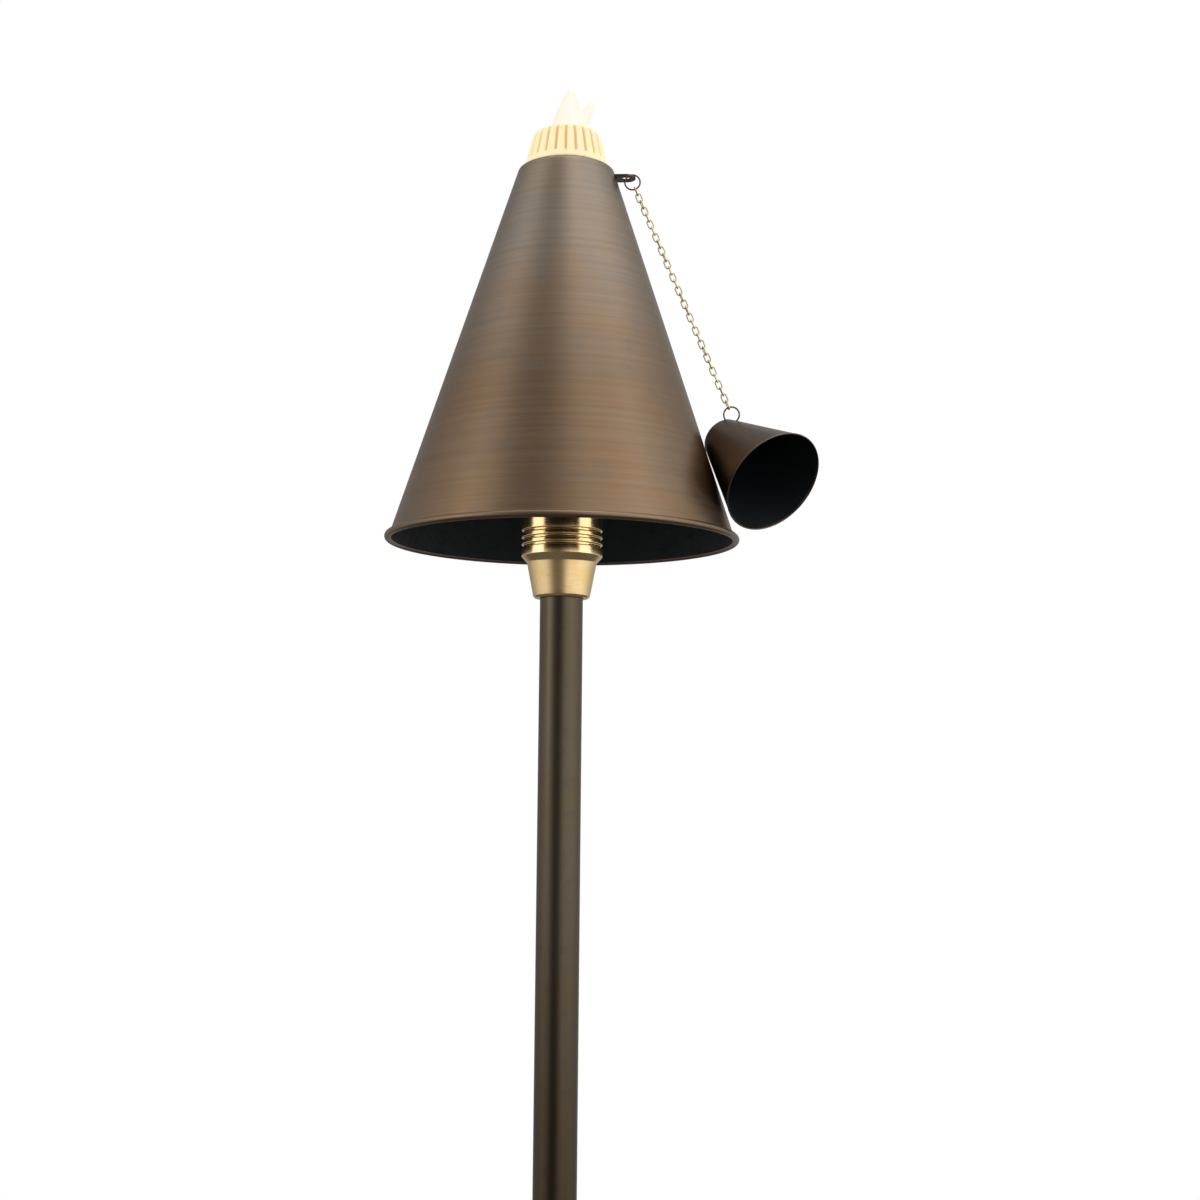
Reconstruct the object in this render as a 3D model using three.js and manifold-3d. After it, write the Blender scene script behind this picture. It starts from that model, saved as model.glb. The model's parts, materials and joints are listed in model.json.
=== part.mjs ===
// A low-voltage garden torch: a spun copper shade on a brass hub and pipe stem, a glowing
// ribbed crown with a glass flame, and a snuffer cap that hangs on a cable chain.
// Millimetres, +Z up. The origin is on the stem's axis at ground level, and +X is the
// side that the snuffer hangs on.
import * as THREE from 'three';
import { mergeVertices } from 'three/addons/utils/BufferGeometryUtils.js';
import Module from 'manifold-3d';

const wasm = await Module();
wasm.setup();

// ---- driving dimensions ----
const FIT = 0.35;
const ROUND = 28;
const SCREW_RADIUS = 2.5;

const PIPE_RADIUS = 10.67;
const PIPE_WALL = 2.77;
const STEM_LENGTH = 914.4;
const STEM_BASE = 16.3;

const FLANGE_RADIUS = 30;
const FLANGE_THICKNESS = 4;
const COLLAR_RADIUS = 17;
const COLLAR_TOP = 60;
const FIN_LENGTH = 230;
const FIN_HALF_WIDTH = 17;
const FIN_THICKNESS = 3.5;
const CABLE_SLOT_WIDTH = 8;
const STAKE_SCREW_LEVEL = 45;

const HUB_BASE = 900;
const HUB_RADIUS = 20.2;
const BEAD_LEVEL = HUB_BASE + 29.1;
const HUB_TOP = BEAD_LEVEL + 16;
const HUB_SCREW_LEVEL = HUB_BASE + 8;
const GROOVE_WIDTH = 1.6;
const GROOVE_DEPTH = 1.1;
const GROOVE_OFFSETS = [-3.5, 0, 3.6];

const RISER_RADIUS = 6.35;
const RISER_WALL = 1.4;

const SHADE_HEIGHT = 190.2;
const SHADE_FOOT_RADIUS = 85.8;
const SHADE_TOP_RADIUS = 24;
const SHADE_WALL = 1.1;
const BEAD_RADIUS = 1.8;
const BEAD_CENTRE = 86.4;
const SHADE_SLOPE = (SHADE_FOOT_RADIUS - SHADE_TOP_RADIUS) / SHADE_HEIGHT;
const SHADE_TOP = BEAD_LEVEL + SHADE_HEIGHT;

const CROWN_BASE = SHADE_TOP + 1.3;
const CROWN_HEIGHT = 17.9;
const CROWN_WALL = 2.6;
const CROWN_SLOTS = 24;
const SLOT_WIDTH = 1.6;
const SLOT_DEPTH = 1.3;

const HOLDER_BASE = SHADE_TOP + 2.1;
const HOLDER_TOP = SHADE_TOP + 8.8;
const FLAME_BASE = SHADE_TOP + 5.1;
const FLAME_WALL = 1.4;

// The chain hangs in one upright plane through the axis. In that plane x is the distance
// from the axis and z the height above the shade's bead.
const HANG_AZIMUTH = THREE.MathUtils.degToRad(-3.3);
const STRAP_LEVEL = 185.7;
const STRAP_THICKNESS = 1.1;
const STRAP_HALF_WIDTH = 4.9;
const STRAP_HOLE = 30.5;
const STRAP_HOLE_RADIUS = 2.2;
const LOOP_RADIUS = 3.88;
const LOOP_WIRE = 0.42;
const UPPER_LOOP = new THREE.Vector3(33.81, 0, 183.98);
const LOWER_LOOP = new THREE.Vector3(84.16, 0, 63.61);
const LOWER_LOOP_TILT = THREE.MathUtils.degToRad(12);
const LINKS = 33;
const LINK_WIRE = 0.38;
const LINK_HALF_WIDTH = 1.32;
const LINK_GAP = 0.12;

const CAP_LENGTH = 47.3;
const CAP_SMALL_RADIUS = 10.5;
const CAP_MOUTH_RADIUS = 26.85;
const CAP_WALL = 0.6;
const CAP_SMALL_END = new THREE.Vector3(79.05, 9.18, 54.1);
const CAP_AZIMUTH = THREE.MathUtils.degToRad(-48.31);
const CAP_ELEVATION = THREE.MathUtils.degToRad(-36.72);
const CAP_HOLE_RADIUS = 1.6;
// The angles round the lower ring at which it passes through the cap.
const CAP_HOLE_ANGLES = [221, 307.5].map(THREE.MathUtils.degToRad);

// ---- materials ----
function finish(color, roughness, metalness) {
  return new THREE.MeshStandardMaterial({ color, roughness, metalness });
}
const patina = () => finish(0x8a7360, 0.42, 1);
const copper = () => finish(0x6d5646, 0.4, 1);
const agedBrass = () => finish(0x6e604c, 0.45, 1);
const brass = () => finish(0xc9a067, 0.3, 1);
const darkWire = () => finish(0x5a4d44, 0.35, 1);
const steel = () => finish(0x8c8c8a, 0.35, 1);
const blackPlastic = () => finish(0x17181a, 0.6, 0);
const rubber = () => finish(0x1c1c1c, 0.8, 0);
const ceramic = () => finish(0xe9e4d8, 0.5, 0);
const frosted = () => finish(0xfff3bf, 0.45, 0);
const clearGlass = () => finish(0xfdfdf6, 0.1, 0);

// ---- geometry helpers ----
const torch = new THREE.Group();
const hang = new THREE.Group();
hang.rotation.z = HANG_AZIMUTH;
hang.position.z = BEAD_LEVEL;
torch.add(hang);

function add(name, geometry, material, parent = torch) {
  const mesh = new THREE.Mesh(geometry, material);
  mesh.name = name;
  parent.add(mesh);
  return mesh;
}

// A profile of [radius, height] pairs, turned about the Z axis.
function turned(profile, segments = ROUND) {
  const points = profile.map(([r, z]) => new THREE.Vector2(r, z));
  return new THREE.LatheGeometry(points, segments).rotateX(Math.PI / 2);
}

function closed(profile) {
  return [...profile, profile[0]];
}

function tubeProfile(inner, outer, low, high) {
  return closed([[inner, low], [outer, low], [outer, high], [inner, high]]);
}

// Points on an arc of a profile, from one angle to another, in degrees.
function arc(r, z, radius, from, to, steps) {
  const angles = Array.from({ length: steps + 1 }, (_, i) => from + ((to - from) * i) / steps);
  return angles.map(THREE.MathUtils.degToRad).map((a) => [
    r + radius * Math.cos(a),
    z + radius * Math.sin(a),
  ]);
}

function toSolid(geometry) {
  const bare = geometry.clone();
  bare.deleteAttribute('normal');
  bare.deleteAttribute('uv');
  const merged = mergeVertices(bare);
  const index = merged.index.array;
  const triVerts = [];
  for (let i = 0; i < index.length; i += 3) {
    const [a, b, c] = index.slice(i, i + 3);
    if (a !== b && b !== c && c !== a) triVerts.push(a, b, c);
  }
  return new wasm.Manifold(new wasm.Mesh({
    numProp: 3,
    vertProperties: new Float32Array(merged.attributes.position.array),
    triVerts: new Uint32Array(triVerts),
  }));
}

function toGeometry(solid) {
  const { vertProperties, triVerts } = solid.getMesh();
  const geometry = new THREE.BufferGeometry();
  geometry.setAttribute('position', new THREE.BufferAttribute(vertProperties, 3));
  geometry.setIndex(new THREE.BufferAttribute(triVerts, 1));
  return geometry;
}

function cut(geometry, cutters) {
  return toGeometry(cutters.reduce((solid, tool) => solid.subtract(toSolid(tool)), toSolid(geometry)));
}

function join(geometries) {
  const [first, ...rest] = geometries.map(toSolid);
  return toGeometry(rest.reduce((solid, other) => solid.add(other), first));
}

function peg(radius, length, segments = 16) {
  return new THREE.CylinderGeometry(radius, radius, length, segments).rotateX(Math.PI / 2);
}

// ---- ground stake ----
function finPlate() {
  const outline = new THREE.Shape();
  outline.moveTo(-FIN_HALF_WIDTH, FLANGE_THICKNESS / 2);
  outline.lineTo(-FIN_HALF_WIDTH, -0.3 * FIN_LENGTH);
  outline.lineTo(0, -FIN_LENGTH);
  outline.lineTo(FIN_HALF_WIDTH, -0.3 * FIN_LENGTH);
  outline.lineTo(FIN_HALF_WIDTH, FLANGE_THICKNESS / 2);
  const plate = new THREE.ExtrudeGeometry(outline, { depth: FIN_THICKNESS, bevelEnabled: false });
  return plate.translate(0, 0, -FIN_THICKNESS / 2).rotateX(Math.PI / 2);
}

function stakeGeometry() {
  const bore = PIPE_RADIUS + FIT;
  const ledge = bore - 2;
  const collar = turned([
    [0, 0],
    [FLANGE_RADIUS, 0],
    [FLANGE_RADIUS, FLANGE_THICKNESS],
    [COLLAR_RADIUS + 2, FLANGE_THICKNESS],
    [COLLAR_RADIUS, FLANGE_THICKNESS + 2],
    [COLLAR_RADIUS, COLLAR_TOP - 1],
    [COLLAR_RADIUS - 1, COLLAR_TOP],
    [bore, COLLAR_TOP],
    [bore, STEM_BASE - 0.3],
    [ledge, STEM_BASE - 0.3],
    [ledge, FLANGE_THICKNESS],
    [0, FLANGE_THICKNESS],
  ]);
  const body = join([collar, finPlate(), finPlate().rotateZ(Math.PI / 2)]);
  const cableSlot = new THREE.BoxGeometry(CABLE_SLOT_WIDTH, COLLAR_RADIUS, 10);
  cableSlot.translate(0, COLLAR_RADIUS * 0.75, FLANGE_THICKNESS + 6);
  const screwHole = peg(SCREW_RADIUS + FIT, COLLAR_RADIUS).rotateX(Math.PI / 2);
  screwHole.translate(0, COLLAR_RADIUS, STAKE_SCREW_LEVEL);
  return cut(body, [cableSlot, screwHole]);
}

// A grub screw along +Z with a socket in its end.
function setScrewGeometry(length) {
  return turned([
    [0, 0],
    [SCREW_RADIUS, 0],
    [SCREW_RADIUS, length],
    [1.3, length],
    [1.3, length - 2.2],
    [0, length - 2.2],
  ], 12);
}

function addSetScrew(name, height, outside) {
  const start = PIPE_RADIUS + FIT;
  const screw = add(name, setScrewGeometry(outside - start), steel());
  screw.rotation.x = -Math.PI / 2;
  screw.position.set(0, start, height);
}

add('ground_stake', stakeGeometry(), blackPlastic());
addSetScrew('stake_set_screw', STAKE_SCREW_LEVEL, COLLAR_RADIUS - 0.4);

// ---- stem, hub and riser ----
function hubGeometry() {
  const bore = PIPE_RADIUS + FIT;
  const stemTop = STEM_BASE + STEM_LENGTH + FIT;
  const grooves = GROOVE_OFFSETS.flatMap((offset) => {
    const low = BEAD_LEVEL + offset - GROOVE_WIDTH / 2;
    const high = low + GROOVE_WIDTH;
    const deep = HUB_RADIUS - GROOVE_DEPTH;
    return [[HUB_RADIUS, low], [deep, low + 0.25], [deep, high - 0.25], [HUB_RADIUS, high]];
  });
  const blank = turned(closed([
    [bore, HUB_BASE],
    [13.2, HUB_BASE],
    [14.1, HUB_BASE + 0.9],
    [17.35, BEAD_LEVEL - 11.5],
    [HUB_RADIUS, BEAD_LEVEL - 8.4],
    ...grooves,
    [HUB_RADIUS, HUB_TOP - 1],
    [HUB_RADIUS - 1, HUB_TOP],
    [RISER_RADIUS + FIT, HUB_TOP],
    [RISER_RADIUS + FIT, stemTop + 4],
    [RISER_RADIUS - RISER_WALL, stemTop + 4],
    [RISER_RADIUS - RISER_WALL, stemTop],
    [bore, stemTop],
  ]));
  const screwHole = peg(SCREW_RADIUS + FIT, HUB_RADIUS).rotateX(Math.PI / 2);
  screwHole.translate(0, HUB_RADIUS, HUB_SCREW_LEVEL);
  return cut(blank, [screwHole]);
}

const stemEnd = STEM_BASE + STEM_LENGTH;
const stemProfile = tubeProfile(PIPE_RADIUS - PIPE_WALL, PIPE_RADIUS, STEM_BASE, stemEnd);
add('stem', turned(stemProfile), agedBrass());
add('hub', hubGeometry(), brass());
addSetScrew('hub_set_screw', HUB_SCREW_LEVEL, 15.2);

const riserBase = stemEnd + FIT + 4.3;
const riserTop = SHADE_TOP + 4.3;
const riserProfile = tubeProfile(RISER_RADIUS - RISER_WALL, RISER_RADIUS, riserBase, riserTop);
add('riser_tube', turned(riserProfile, 24), brass());

// ---- shade ----
function shadeRadius(height) {
  return SHADE_FOOT_RADIUS - SHADE_SLOPE * height;
}

function shadeGeometry() {
  const bore = RISER_RADIUS + FIT;
  const shoulder = 2.2;
  const under = SHADE_HEIGHT - SHADE_WALL;
  const slopeAngle = THREE.MathUtils.radToDeg(Math.atan(SHADE_SLOPE));
  const shoulderRadius = shadeRadius(SHADE_HEIGHT - shoulder) - shoulder;
  const spun = turned(closed([
    ...arc(BEAD_CENTRE, 0, BEAD_RADIUS, -160, 126, 6),
    ...arc(shoulderRadius, SHADE_HEIGHT - shoulder, shoulder, slopeAngle, 90, 2),
    [bore, SHADE_HEIGHT],
    [bore, under],
    [shadeRadius(under) - 2.4, under],
    [shadeRadius(under - 2) - SHADE_WALL - 0.3, under - 2],
    [shadeRadius(2) - SHADE_WALL, 2],
  ]), 64);
  const slot = new THREE.BoxGeometry(
    8,
    2 * (STRAP_HALF_WIDTH + FIT),
    STRAP_THICKNESS + 2 * FIT,
  );
  slot.translate(shadeRadius(STRAP_LEVEL), 0, STRAP_LEVEL + STRAP_THICKNESS / 2);
  return cut(spun, [slot.rotateZ(HANG_AZIMUTH)]).translate(0, 0, BEAD_LEVEL);
}

add('shade', shadeGeometry(), patina());

// The flat strap that carries the chain: an eye on the riser, and a round end with a hole.
function strapGeometry() {
  const eye = 10;
  const meet = Math.asin(STRAP_HALF_WIDTH / eye);
  const outline = new THREE.Shape();
  outline.absarc(0, 0, eye, meet, 2 * Math.PI - meet, false);
  outline.absarc(STRAP_HOLE, 0, STRAP_HALF_WIDTH, -Math.PI / 2, Math.PI / 2, false);
  outline.closePath();
  for (const [centre, radius] of [[0, RISER_RADIUS + FIT], [STRAP_HOLE, STRAP_HOLE_RADIUS]]) {
    outline.holes.push(new THREE.Path().absarc(centre, 0, radius, 0, 2 * Math.PI, true));
  }
  const options = { depth: STRAP_THICKNESS, bevelEnabled: false, curveSegments: 9 };
  return new THREE.ExtrudeGeometry(outline, options);
}

const strap = add('chain_strap', strapGeometry(), copper(), hang);
strap.position.z = STRAP_LEVEL;

const washerLow = STRAP_LEVEL + STRAP_THICKNESS + 0.3;
const washerHigh = SHADE_HEIGHT - SHADE_WALL - 0.3;
const washer = tubeProfile(RISER_RADIUS + FIT, 11, washerLow, washerHigh);
const shadeWasher = add('shade_washer', turned(washer, 24), brass());
shadeWasher.position.z = BEAD_LEVEL;

function hexNutGeometry(acrossFlats, bore, height) {
  const corner = acrossFlats / Math.sqrt(3);
  const angles = Array.from({ length: 6 }, (_, i) => (i * Math.PI) / 3);
  const corners = angles.map((a) => new THREE.Vector2(corner * Math.cos(a), corner * Math.sin(a)));
  const outline = new THREE.Shape(corners);
  outline.holes.push(new THREE.Path().absarc(0, 0, bore, 0, 2 * Math.PI, true));
  const options = { depth: height, bevelEnabled: false, curveSegments: 12 };
  return new THREE.ExtrudeGeometry(outline, options);
}

const lockNut = add('riser_lock_nut', hexNutGeometry(19, RISER_RADIUS + FIT, 5), brass());
lockNut.position.z = BEAD_LEVEL + STRAP_LEVEL - 5.3;

// ---- lamp ----
const HOLDER_SCREW_Y = 12.6;

function lampPlateGeometry() {
  const low = SHADE_TOP + 0.3;
  const disc = turned(tubeProfile(RISER_RADIUS + FIT, 17.8, low, low + 1.5));
  const holes = [-1, 1].map((side) => peg(1.3 + FIT, 6).translate(0, side * HOLDER_SCREW_Y, low));
  return cut(disc, holes);
}

function lampholderGeometry() {
  const body = turned([
    [0, HOLDER_BASE + 4.4],
    [RISER_RADIUS + 0.5, HOLDER_BASE + 4.4],
    [RISER_RADIUS + 0.5, HOLDER_BASE],
    [15.2, HOLDER_BASE],
    [15.2, HOLDER_BASE + 2.7],
    [7.9, HOLDER_BASE + 2.7],
    [7.9, HOLDER_TOP - 0.6],
    [7.3, HOLDER_TOP],
    [0, HOLDER_TOP],
  ], 20);
  const screwHoles = [-1, 1].map((side) =>
    peg(1.3 + FIT, 12).translate(0, side * HOLDER_SCREW_Y, HOLDER_BASE));
  const pinHoles = [-1, 1].map((side) => peg(0.9, 12, 10).translate(side * 2, 0, HOLDER_TOP));
  return cut(body, [...screwHoles, ...pinHoles]);
}

function panScrewGeometry(shank) {
  return turned([
    [0, -shank],
    [1.3, -shank],
    [1.3, 0],
    [2.1, 0],
    [2.1, 0.9],
    [1.2, 1.6],
    [0, 1.6],
  ], 12);
}

function lampBaseGeometry() {
  const low = HOLDER_TOP + 0.3;
  const body = turned([[0, low], [6, low], [6, low + 3.4], [5.2, low + 4.2], [0, low + 4.2]], 24);
  const pins = [-1, 1].map((side) => peg(0.5, 3, 8).translate(side * 2, 0, low - 0.9));
  return join([body, ...pins]);
}

function lampEnvelopeGeometry() {
  const low = HOLDER_TOP + 4.8;
  const dome = low + 4.6;
  const outer = arc(0, dome, 4.2, 0, 90, 3);
  const inner = arc(0, dome, 3.3, 90, 0, 3);
  return turned([[4.2, low], ...outer, ...inner, [3.3, low], [4.2, low]], 16);
}

add('lamp_plate', lampPlateGeometry(), steel());
add('lampholder', lampholderGeometry(), ceramic());
[1, -1].forEach((side, i) => {
  const screw = add(`lampholder_screw_${i + 1}`, panScrewGeometry(4.3), steel());
  screw.position.set(0, side * HOLDER_SCREW_Y, HOLDER_BASE + 3);
});
add('lamp_base', lampBaseGeometry(), ceramic());
add('lamp_envelope', lampEnvelopeGeometry(), clearGlass());

// Two leads run straight up inside the stem and the riser.
const leadLow = STEM_BASE + 0.5;
const leadHigh = HOLDER_BASE + 3.8;
[1, -1].forEach((side, i) => {
  const lead = add(`lead_${i + 1}`, peg(1.2, leadHigh - leadLow, 8), rubber());
  lead.position.set(side * 1.5, 0, (leadHigh + leadLow) / 2);
});

// ---- ribbed crown, its gasket and the flame ----
function crownOuter() {
  return [
    [21.5, CROWN_BASE],
    [20.5, CROWN_BASE + 3.1],
    [18, CROWN_BASE + CROWN_HEIGHT - 4.2],
    [17, CROWN_BASE + CROWN_HEIGHT - 1.7],
    [15.4, CROWN_BASE + CROWN_HEIGHT],
  ];
}

// One groove's cutter: a thin upright plate whose inner edge follows the crown's outside.
function crownGrooveCutter(angle) {
  const edge = crownOuter().slice(1).map(([r, z]) => [r - SLOT_DEPTH, z]).reverse();
  const [rimRadius, rimLevel] = edge[0];
  const low = CROWN_BASE + 2.7;
  const outside = 26;
  const outline = new THREE.Shape();
  outline.moveTo(outside, low);
  outline.lineTo(outside, rimLevel + 4);
  outline.lineTo(rimRadius, rimLevel + 4);
  edge.forEach(([r, z]) => outline.lineTo(r, z));
  const plate = new THREE.ExtrudeGeometry(outline, { depth: SLOT_WIDTH, bevelEnabled: false });
  return plate.translate(0, 0, -SLOT_WIDTH / 2).rotateX(Math.PI / 2).rotateZ(angle);
}

function crownGeometry() {
  const outer = crownOuter();
  const inner = outer.slice(0, -1).map(([r, z]) => [r - CROWN_WALL, z]).reverse();
  const top = CROWN_BASE + CROWN_HEIGHT;
  const rim = [[13.6, top], [13.6, top - 2]];
  const shell = turned(closed([...outer, ...rim, ...inner.slice(1)]), 48);
  const angles = Array.from({ length: CROWN_SLOTS }, (_, i) => (i * 2 * Math.PI) / CROWN_SLOTS);
  return cut(shell, angles.map(crownGrooveCutter));
}

// A tongue of the flame: a turned drop whose upper part leans sideways with height.
function flameTongue(profile, leanX, leanY, tip) {
  const geometry = turned(profile, 16);
  const position = geometry.attributes.position;
  for (let i = 0; i < position.count; i += 1) {
    const rise = THREE.MathUtils.smoothstep(position.getZ(i), FLAME_BASE + 8, tip);
    position.setX(i, position.getX(i) + leanX * rise);
    position.setY(i, position.getY(i) + leanY * rise);
  }
  return geometry;
}

function flameSolid(inset) {
  const drop = inset > 0 ? 1 : 0;
  const low = FLAME_BASE - drop;
  const tall = FLAME_BASE + 39.2 - 2.5 * inset;
  const small = FLAME_BASE + 32.6 - 2.5 * inset;
  const tongue = (radii, tip, leanX, leanY) => {
    const levels = [0, 0.3, 0.5, 0.68, 0.84, 0.95];
    const sides = radii.map((r, i) => {
      const z = i === 0 ? low : FLAME_BASE + levels[i] * (tip - FLAME_BASE);
      return [Math.max(r - inset, 0.3), z];
    });
    return toSolid(flameTongue([[0, low], ...sides, [0, tip]], leanX, leanY, tip));
  };
  const main = tongue([9.8, 10, 8.2, 6.2, 4, 2], tall, 3.2, 0);
  const side = tongue([7, 7.6, 6.4, 4.4, 3.2, 1.6], small, 14, -1);
  return main.add(side);
}

const crownGasket = tubeProfile(18.2, 21, SHADE_TOP + 0.3, CROWN_BASE - 0.3);
add('crown_gasket', turned(crownGasket), rubber());
add('ribbed_crown', crownGeometry(), frosted());
add('flame_glass', toGeometry(flameSolid(0).subtract(flameSolid(FLAME_WALL))), frosted());

// ---- chain ----
function loopGeometry() {
  return new THREE.TorusGeometry(LOOP_RADIUS, LOOP_WIRE, 5, 18).rotateX(Math.PI / 2);
}

const down = LOWER_LOOP.clone().sub(UPPER_LOOP).normalize();
const across = new THREE.Vector3(0, 1, 0);
const loopReach = LOOP_RADIUS - LOOP_WIRE - LINK_WIRE - LINK_GAP;
const chainStart = UPPER_LOOP.clone().addScaledVector(down, loopReach);
const chainSpan = LOWER_LOOP.distanceTo(UPPER_LOOP) - 2 * loopReach;
const linkOverlap = 2 * LINK_WIRE + LINK_GAP;
const linkPitch = (chainSpan - linkOverlap) / LINKS;
const linkLength = linkPitch + linkOverlap;

// An oval link in the XY plane with its long axis on X: a torus pulled apart at its waist.
function linkGeometry() {
  const geometry = new THREE.TorusGeometry(LINK_HALF_WIDTH, LINK_WIRE, 4, 10);
  const position = geometry.attributes.position;
  const stretch = linkLength / 2 - LINK_HALF_WIDTH;
  for (let i = 0; i < position.count; i += 1) {
    const x = position.getX(i);
    position.setX(i, x + Math.sign(x) * stretch);
  }
  return geometry;
}

const upperLoop = add('upper_ring', loopGeometry(), darkWire(), hang);
upperLoop.position.copy(UPPER_LOOP);

const chain = new THREE.Group();
chain.position.copy(chainStart);
chain.quaternion.setFromUnitVectors(new THREE.Vector3(1, 0, 0), down);
hang.add(chain);
for (let i = 0; i < LINKS; i += 1) {
  const name = `chain_link_${String(i + 1).padStart(2, '0')}`;
  const link = add(name, linkGeometry(), brass(), chain);
  link.position.x = linkLength / 2 + i * linkPitch;
  link.rotation.x = i % 2 === 0 ? 0 : Math.PI / 2;
}

// The lower ring leans back a little, so it hangs from its point in the last link.
const loopNormal = across.clone().applyAxisAngle(new THREE.Vector3(1, 0, 0), LOWER_LOOP_TILT);
const inPlaneDown = down.clone().projectOnPlane(loopNormal).normalize();
const lowerCentre = LOWER_LOOP.clone()
  .addScaledVector(down, -LOOP_RADIUS)
  .addScaledVector(inPlaneDown, LOOP_RADIUS);
const lowerLoop = add('lower_ring', loopGeometry(), darkWire(), hang);
lowerLoop.position.copy(lowerCentre);
lowerLoop.rotation.x = LOWER_LOOP_TILT;

// ---- snuffer cap ----
function capDirection() {
  return new THREE.Vector3(
    Math.cos(CAP_ELEVATION) * Math.cos(CAP_AZIMUTH),
    Math.cos(CAP_ELEVATION) * Math.sin(CAP_AZIMUTH),
    Math.sin(CAP_ELEVATION),
  );
}

function capBlank() {
  const corner = 2.2;
  const slope = (CAP_MOUTH_RADIUS - CAP_SMALL_RADIUS) / CAP_LENGTH;
  const lean = THREE.MathUtils.radToDeg(Math.atan(slope));
  const outerCorner = arc(CAP_SMALL_RADIUS - corner + 0.3, corner, corner, -90, -lean, 3);
  const innerCorner = arc(
    CAP_SMALL_RADIUS - corner + 0.3, corner, corner - CAP_WALL, -lean, -90, 3);
  return turned([
    [0, 0],
    ...outerCorner,
    [CAP_MOUTH_RADIUS, CAP_LENGTH - 0.8],
    [CAP_MOUTH_RADIUS + 0.1, CAP_LENGTH],
    [CAP_MOUTH_RADIUS - CAP_WALL - 0.3, CAP_LENGTH],
    [CAP_MOUTH_RADIUS - CAP_WALL - 0.5, CAP_LENGTH - 1],
    ...innerCorner,
    [0, CAP_WALL],
  ], 40);
}

// Two holes through the wall near the small end, where the lower ring passes in and out.
function capHoleCutters(placement) {
  const tilt = new THREE.Quaternion().setFromAxisAngle(new THREE.Vector3(1, 0, 0), LOWER_LOOP_TILT);
  return CAP_HOLE_ANGLES.map((angle) => {
    const offset = new THREE.Vector3(Math.cos(angle), 0, Math.sin(angle));
    offset.multiplyScalar(LOOP_RADIUS).applyQuaternion(tilt);
    const tool = peg(CAP_HOLE_RADIUS, 5, 20).applyQuaternion(tilt);
    tool.translate(...lowerCentre.clone().add(offset).toArray());
    return tool.applyMatrix4(placement.clone().invert());
  });
}

const capPose = new THREE.Quaternion().setFromUnitVectors(new THREE.Vector3(0, 0, 1), capDirection());
const capPlacement = new THREE.Matrix4().compose(CAP_SMALL_END, capPose, new THREE.Vector3(1, 1, 1));
const cap = add('snuffer_cap', cut(capBlank(), capHoleCutters(capPlacement)), copper(), hang);
cap.position.copy(CAP_SMALL_END);
cap.quaternion.copy(capPose);

export default torch;
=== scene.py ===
import json
import math

import bmesh
import bpy
import numpy as np
from mathutils import Matrix, Vector

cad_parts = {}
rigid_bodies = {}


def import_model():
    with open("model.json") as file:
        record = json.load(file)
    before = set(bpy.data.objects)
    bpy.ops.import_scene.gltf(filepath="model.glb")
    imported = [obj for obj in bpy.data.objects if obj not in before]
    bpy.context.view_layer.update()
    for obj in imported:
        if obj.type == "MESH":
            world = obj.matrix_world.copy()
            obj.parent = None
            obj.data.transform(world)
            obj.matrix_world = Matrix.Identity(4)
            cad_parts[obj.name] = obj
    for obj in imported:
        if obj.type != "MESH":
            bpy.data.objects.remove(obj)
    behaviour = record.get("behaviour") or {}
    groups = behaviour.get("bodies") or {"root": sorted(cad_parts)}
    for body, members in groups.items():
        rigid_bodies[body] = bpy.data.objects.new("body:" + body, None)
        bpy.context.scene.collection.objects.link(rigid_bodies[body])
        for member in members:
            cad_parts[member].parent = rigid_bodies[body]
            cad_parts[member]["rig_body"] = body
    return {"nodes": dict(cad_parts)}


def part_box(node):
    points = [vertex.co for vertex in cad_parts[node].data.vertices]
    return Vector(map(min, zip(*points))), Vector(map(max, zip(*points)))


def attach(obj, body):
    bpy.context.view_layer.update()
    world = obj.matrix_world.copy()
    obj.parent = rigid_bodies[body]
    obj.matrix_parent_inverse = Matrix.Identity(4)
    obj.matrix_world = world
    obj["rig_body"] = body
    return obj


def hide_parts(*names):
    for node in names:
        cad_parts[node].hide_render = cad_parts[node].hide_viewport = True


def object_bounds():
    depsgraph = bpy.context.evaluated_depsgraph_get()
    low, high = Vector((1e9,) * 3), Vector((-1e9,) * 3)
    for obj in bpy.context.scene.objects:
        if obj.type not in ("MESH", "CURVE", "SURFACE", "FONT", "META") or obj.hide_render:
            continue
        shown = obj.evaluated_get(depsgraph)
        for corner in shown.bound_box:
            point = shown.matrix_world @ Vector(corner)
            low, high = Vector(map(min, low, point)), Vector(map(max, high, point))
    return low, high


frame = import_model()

cad_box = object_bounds()

# ---- Viewpoint ----
# The camera stands low in front of the torch and looks up at the shade, 0.85 m away. Heights near
# the shade are measured from the middle of the bead at its foot.
MM = 0.001
bead_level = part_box("shade")[0].z + 1.8 * MM
camera_data = bpy.data.cameras.new("camera")
camera_data.lens = 51.8
camera_data.sensor_width = 36.0
camera_data.clip_start = 0.01
camera_data.clip_end = 100.0
camera = bpy.data.objects.new("camera", camera_data)
bpy.context.scene.collection.objects.link(camera)
eye = Vector((19.15 * MM, -853.0 * MM, bead_level - 120.6 * MM))
pitch = Matrix.Rotation(math.radians(90 + 6.08), 4, "X")
roll = Matrix.Rotation(math.radians(0.52), 4, "Z")
camera.matrix_world = Matrix.Translation(eye) @ pitch @ roll
bpy.context.scene.camera = camera
bpy.context.scene.view_settings.view_transform = "Standard"


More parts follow.
